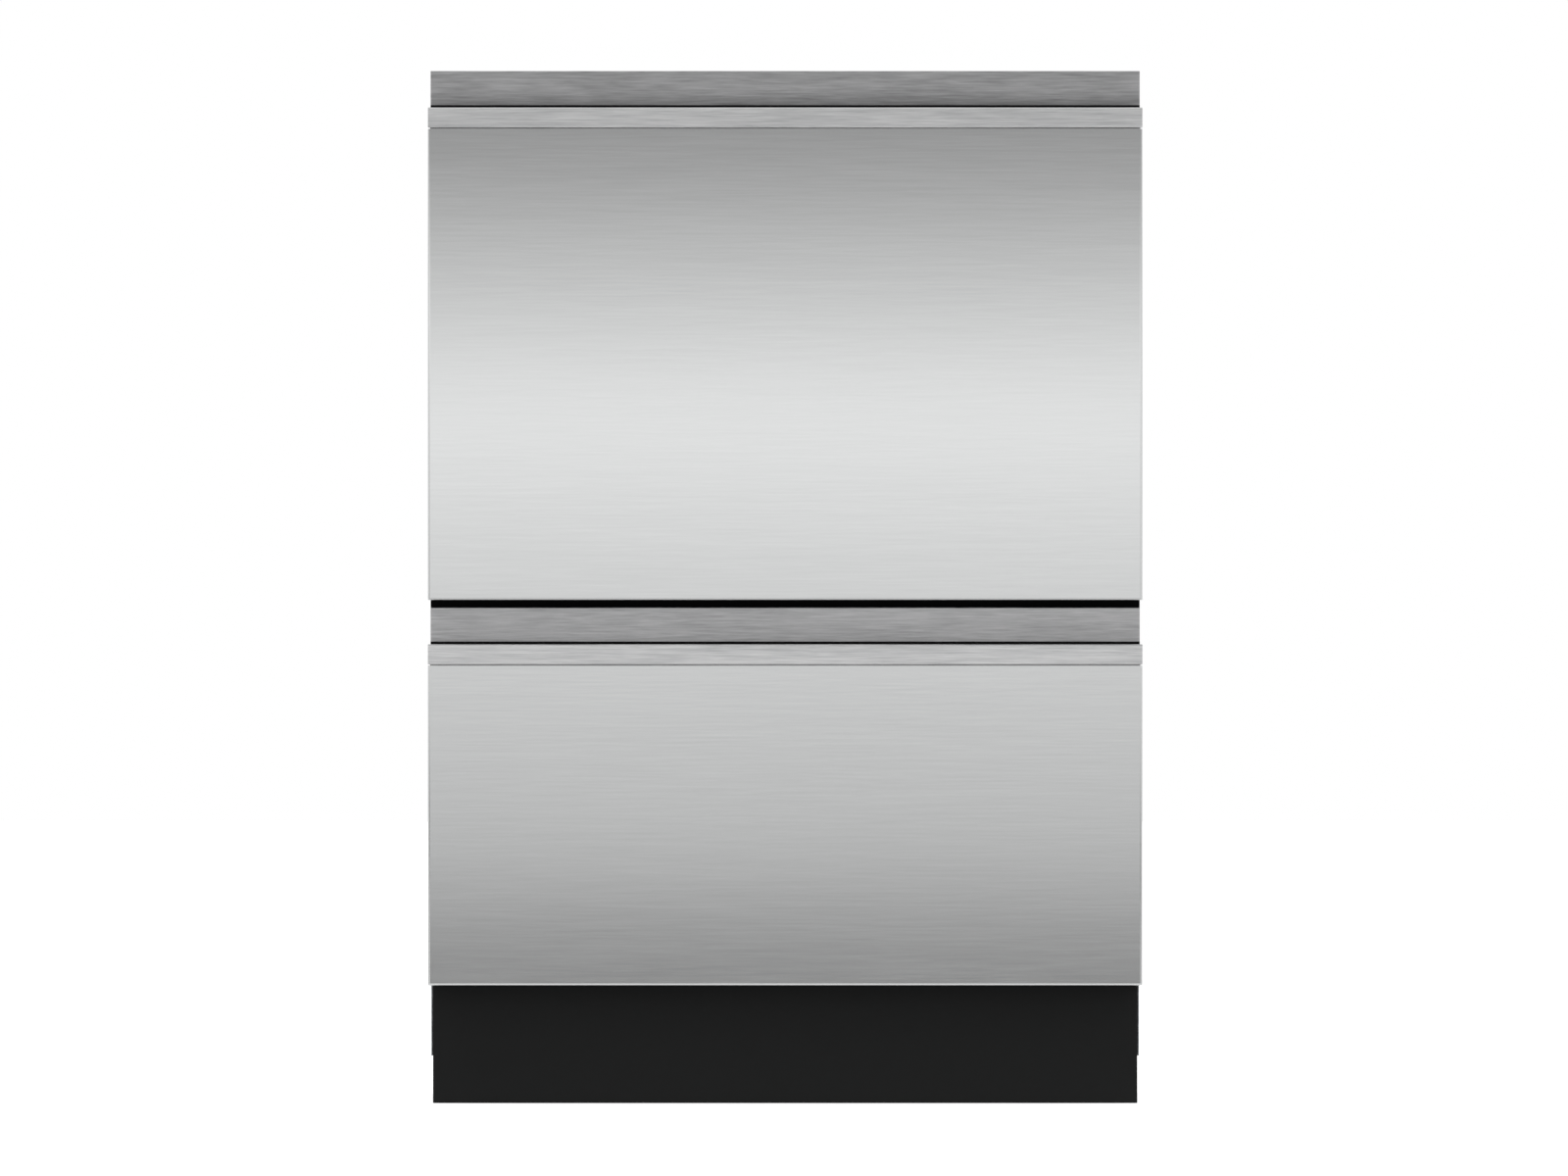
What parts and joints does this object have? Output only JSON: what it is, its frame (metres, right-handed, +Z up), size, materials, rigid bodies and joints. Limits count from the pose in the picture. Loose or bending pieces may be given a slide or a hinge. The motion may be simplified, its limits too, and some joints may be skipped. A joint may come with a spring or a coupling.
{
  "type": "dishwasher drawer",
  "caption": "Built-in stainless dishwasher with a tall upper and a low lower washing drawer, full-width recessed handles and a black toe kick.",
  "frame": {"origin": "on the floor under the middle of the closed machine", "axes": "+Z up, the drawer fronts face -Y, +X to the right seen from the front"},
  "size_m": [0.599, 0.573, 0.867],
  "materials": {
    "stainless": "fine horizontal grain",
    "handle_alloy": "brushed, anodised",
    "housing_plastic": "moulded grain",
    "fascia_plastic": "high gloss",
    "button_plastic": "satin",
    "tub_plastic": "smooth moulded",
    "wash_plastic": "moulded grain",
    "coated_wire": "nylon coated",
    "zinc_steel": "zinc plated",
    "cabinet_steel": "galvanised sheet",
    "black_metal": "semi-matt black",
    "black_plastic": "moulded grain",
    "seal_rubber": "smooth",
    "valve_plastic": "moulded"
  },
  "bodies": {
    "cabinet": {"left_side_panel": "cabinet_steel", "right_side_panel": "cabinet_steel", "top_panel": "cabinet_steel", "back_panel": "cabinet_steel", "base_pan": "black_plastic", "front_frame": "black_metal", "kick_strip": "black_metal", "cabinet_runners": "zinc_steel", "lid_actuators": "black_plastic", "service_connections": "valve_plastic"},
    "front_left_foot": {"front_left_foot": "black_plastic"},
    "front_right_foot": {"front_right_foot": "black_plastic"},
    "rear_left_foot": {"rear_left_foot": "black_plastic"},
    "rear_right_foot": {"rear_right_foot": "black_plastic"},
    "upper_drawer": {"upper_front_panel": "stainless", "upper_handle": "handle_alloy", "upper_front_housing": "housing_plastic", "upper_control_fascia": "fascia_plastic", "upper_tub": "tub_plastic", "upper_filter": "wash_plastic", "upper_pump_unit": "black_plastic", "upper_basket": "coated_wire", "upper_dispenser": "wash_plastic", "upper_drawer_runners": "zinc_steel", "upper_cutlery_basket": "wash_plastic"},
    "upper_middle_runners": {"upper_middle_runners": "zinc_steel"},
    "upper_lid": {"upper_lid": "tub_plastic", "upper_lid_seal": "seal_rubber"},
    "upper_spray_arm": {"upper_spray_arm": "wash_plastic"},
    "upper_folding_tines": {"upper_folding_tines": "coated_wire"},
    "upper_left_cup_rack": {"upper_left_cup_rack": "wash_plastic"},
    "upper_right_cup_rack": {"upper_right_cup_rack": "wash_plastic"},
    "upper_dispenser_door": {"upper_dispenser_door": "wash_plastic"},
    "upper_power_button": {"upper_power_button": "button_plastic"},
    "upper_program_button": {"upper_program_button": "button_plastic"},
    "upper_start_button": {"upper_start_button": "button_plastic"},
    "upper_hose_link_rear": {"upper_hose_link_rear": "black_plastic"},
    "upper_hose_link_front": {"upper_hose_link_front": "black_plastic"},
    "lower_drawer": {"lower_front_panel": "stainless", "lower_handle": "handle_alloy", "lower_front_housing": "housing_plastic", "lower_control_fascia": "fascia_plastic", "lower_tub": "tub_plastic", "lower_filter": "wash_plastic", "lower_pump_unit": "black_plastic", "lower_basket": "coated_wire", "lower_dispenser": "wash_plastic", "lower_drawer_runners": "zinc_steel"},
    "lower_middle_runners": {"lower_middle_runners": "zinc_steel"},
    "lower_lid": {"lower_lid": "tub_plastic", "lower_lid_seal": "seal_rubber"},
    "lower_spray_arm": {"lower_spray_arm": "wash_plastic"},
    "lower_folding_tines": {"lower_folding_tines": "coated_wire"},
    "lower_left_cup_rack": {"lower_left_cup_rack": "wash_plastic"},
    "lower_dispenser_door": {"lower_dispenser_door": "wash_plastic"},
    "lower_power_button": {"lower_power_button": "button_plastic"},
    "lower_program_button": {"lower_program_button": "button_plastic"},
    "lower_start_button": {"lower_start_button": "button_plastic"},
    "lower_hose_link_rear": {"lower_hose_link_rear": "black_plastic"},
    "lower_hose_link_front": {"lower_hose_link_front": "black_plastic"}
  },
  "joints": [
    {"name": "front_left_foot_screw", "type": "slide", "parent": "cabinet", "child": "front_left_foot", "axis": [0, 0, -1], "range_m": [0, 0.05]},
    {"name": "front_right_foot_screw", "type": "slide", "parent": "cabinet", "child": "front_right_foot", "axis": [0, 0, -1], "range_m": [0, 0.05]},
    {"name": "rear_left_foot_screw", "type": "slide", "parent": "cabinet", "child": "rear_left_foot", "axis": [0, 0, -1], "range_m": [0, 0.05]},
    {"name": "rear_right_foot_screw", "type": "slide", "parent": "cabinet", "child": "rear_right_foot", "axis": [0, 0, -1], "range_m": [0, 0.05]},
    {"name": "upper_drawer_slide", "type": "slide", "parent": "cabinet", "child": "upper_drawer", "axis": [0, -1, 0], "range_m": [0, 0.5]},
    {"name": "upper_runner_slide", "type": "slide", "parent": "cabinet", "child": "upper_middle_runners", "axis": [0, -1, 0], "range_m": [0, 0.25]},
    {"name": "upper_lid_drop", "type": "slide", "parent": "cabinet", "child": "upper_lid", "axis": [0, 0, -1], "range_m": [0, 0.012]},
    {"name": "upper_spray_spin", "type": "hinge", "parent": "upper_drawer", "child": "upper_spray_arm", "pos_m": [0, 0.0155, 0.496], "axis": [0, 0, 1], "continuous": true},
    {"name": "upper_tines_fold", "type": "hinge", "parent": "upper_drawer", "child": "upper_folding_tines", "pos_m": [0, 0.0135, 0.5236], "axis": [-1, 0, 0], "range_deg": [0, 90]},
    {"name": "upper_left_cup_rack_fold", "type": "hinge", "parent": "upper_drawer", "child": "upper_left_cup_rack", "pos_m": [-0.236, 0.0135, 0.628], "axis": [0, -1, 0], "range_deg": [0, 85]},
    {"name": "upper_right_cup_rack_fold", "type": "hinge", "parent": "upper_drawer", "child": "upper_right_cup_rack", "pos_m": [0.236, 0.0135, 0.628], "axis": [0, 1, 0], "range_deg": [0, 85]},
    {"name": "upper_dispenser_door_hinge", "type": "hinge", "parent": "upper_drawer", "child": "upper_dispenser_door", "pos_m": [-0.036, -0.1964, 0.745], "axis": [-1, 0, 0], "range_deg": [0, 90]},
    {"name": "upper_power_button_press", "type": "slide", "parent": "upper_drawer", "child": "upper_power_button", "axis": [0, 0, -1], "range_m": [0, 0.0012], "stiffness_N_per_m": 600, "springref_m": -0.0005},
    {"name": "upper_program_button_press", "type": "slide", "parent": "upper_drawer", "child": "upper_program_button", "axis": [0, 0, -1], "range_m": [0, 0.0012], "stiffness_N_per_m": 600, "springref_m": -0.0005},
    {"name": "upper_start_button_press", "type": "slide", "parent": "upper_drawer", "child": "upper_start_button", "axis": [0, 0, -1], "range_m": [0, 0.0012], "stiffness_N_per_m": 600, "springref_m": -0.0005},
    {"name": "upper_hose_link_rear_hinge", "type": "hinge", "parent": "cabinet", "child": "upper_hose_link_rear", "pos_m": [0.2, 0.2585, 0.4365], "axis": [0, 0, 1], "range_deg": [0, 60]},
    {"name": "upper_hose_link_front_hinge", "type": "hinge", "parent": "upper_hose_link_rear", "child": "upper_hose_link_front", "pos_m": [-0.09, 0.2585, 0.4365], "axis": [0, 0, 1], "range_deg": [-120, 0]},
    {"name": "lower_drawer_slide", "type": "slide", "parent": "cabinet", "child": "lower_drawer", "axis": [0, -1, 0], "range_m": [0, 0.5]},
    {"name": "lower_runner_slide", "type": "slide", "parent": "cabinet", "child": "lower_middle_runners", "axis": [0, -1, 0], "range_m": [0, 0.25]},
    {"name": "lower_lid_drop", "type": "slide", "parent": "cabinet", "child": "lower_lid", "axis": [0, 0, -1], "range_m": [0, 0.012]},
    {"name": "lower_spray_spin", "type": "hinge", "parent": "lower_drawer", "child": "lower_spray_arm", "pos_m": [0, 0.0155, 0.173], "axis": [0, 0, 1], "continuous": true},
    {"name": "lower_tines_fold", "type": "hinge", "parent": "lower_drawer", "child": "lower_folding_tines", "pos_m": [0, 0.0135, 0.2006], "axis": [-1, 0, 0], "range_deg": [0, 90]},
    {"name": "lower_left_cup_rack_fold", "type": "hinge", "parent": "lower_drawer", "child": "lower_left_cup_rack", "pos_m": [-0.236, 0.0135, 0.275], "axis": [0, -1, 0], "range_deg": [0, 85]},
    {"name": "lower_dispenser_door_hinge", "type": "hinge", "parent": "lower_drawer", "child": "lower_dispenser_door", "pos_m": [-0.036, -0.1964, 0.295], "axis": [-1, 0, 0], "range_deg": [0, 90]},
    {"name": "lower_power_button_press", "type": "slide", "parent": "lower_drawer", "child": "lower_power_button", "axis": [0, 0, -1], "range_m": [0, 0.0012], "stiffness_N_per_m": 600, "springref_m": -0.0005},
    {"name": "lower_program_button_press", "type": "slide", "parent": "lower_drawer", "child": "lower_program_button", "axis": [0, 0, -1], "range_m": [0, 0.0012], "stiffness_N_per_m": 600, "springref_m": -0.0005},
    {"name": "lower_start_button_press", "type": "slide", "parent": "lower_drawer", "child": "lower_start_button", "axis": [0, 0, -1], "range_m": [0, 0.0012], "stiffness_N_per_m": 600, "springref_m": -0.0005},
    {"name": "lower_hose_link_rear_hinge", "type": "hinge", "parent": "cabinet", "child": "lower_hose_link_rear", "pos_m": [0.2, 0.2585, 0.1135], "axis": [0, 0, 1], "range_deg": [0, 60]},
    {"name": "lower_hose_link_front_hinge", "type": "hinge", "parent": "lower_hose_link_rear", "child": "lower_hose_link_front", "pos_m": [-0.09, 0.2585, 0.1135], "axis": [0, 0, 1], "range_deg": [-120, 0]}
  ],
  "couplings": [
    {"joint": "upper_runner_slide", "follows": "upper_drawer_slide", "ratio": 0.5},
    {"joint": "upper_hose_link_rear_hinge", "follows": "upper_drawer_slide", "rad_per_m": 2.0787},
    {"joint": "upper_hose_link_front_hinge", "follows": "upper_drawer_slide", "rad_per_m": -4.1574},
    {"joint": "lower_runner_slide", "follows": "lower_drawer_slide", "ratio": 0.5},
    {"joint": "lower_hose_link_rear_hinge", "follows": "lower_drawer_slide", "rad_per_m": 2.0787},
    {"joint": "lower_hose_link_front_hinge", "follows": "lower_drawer_slide", "rad_per_m": -4.1574}
  ]
}
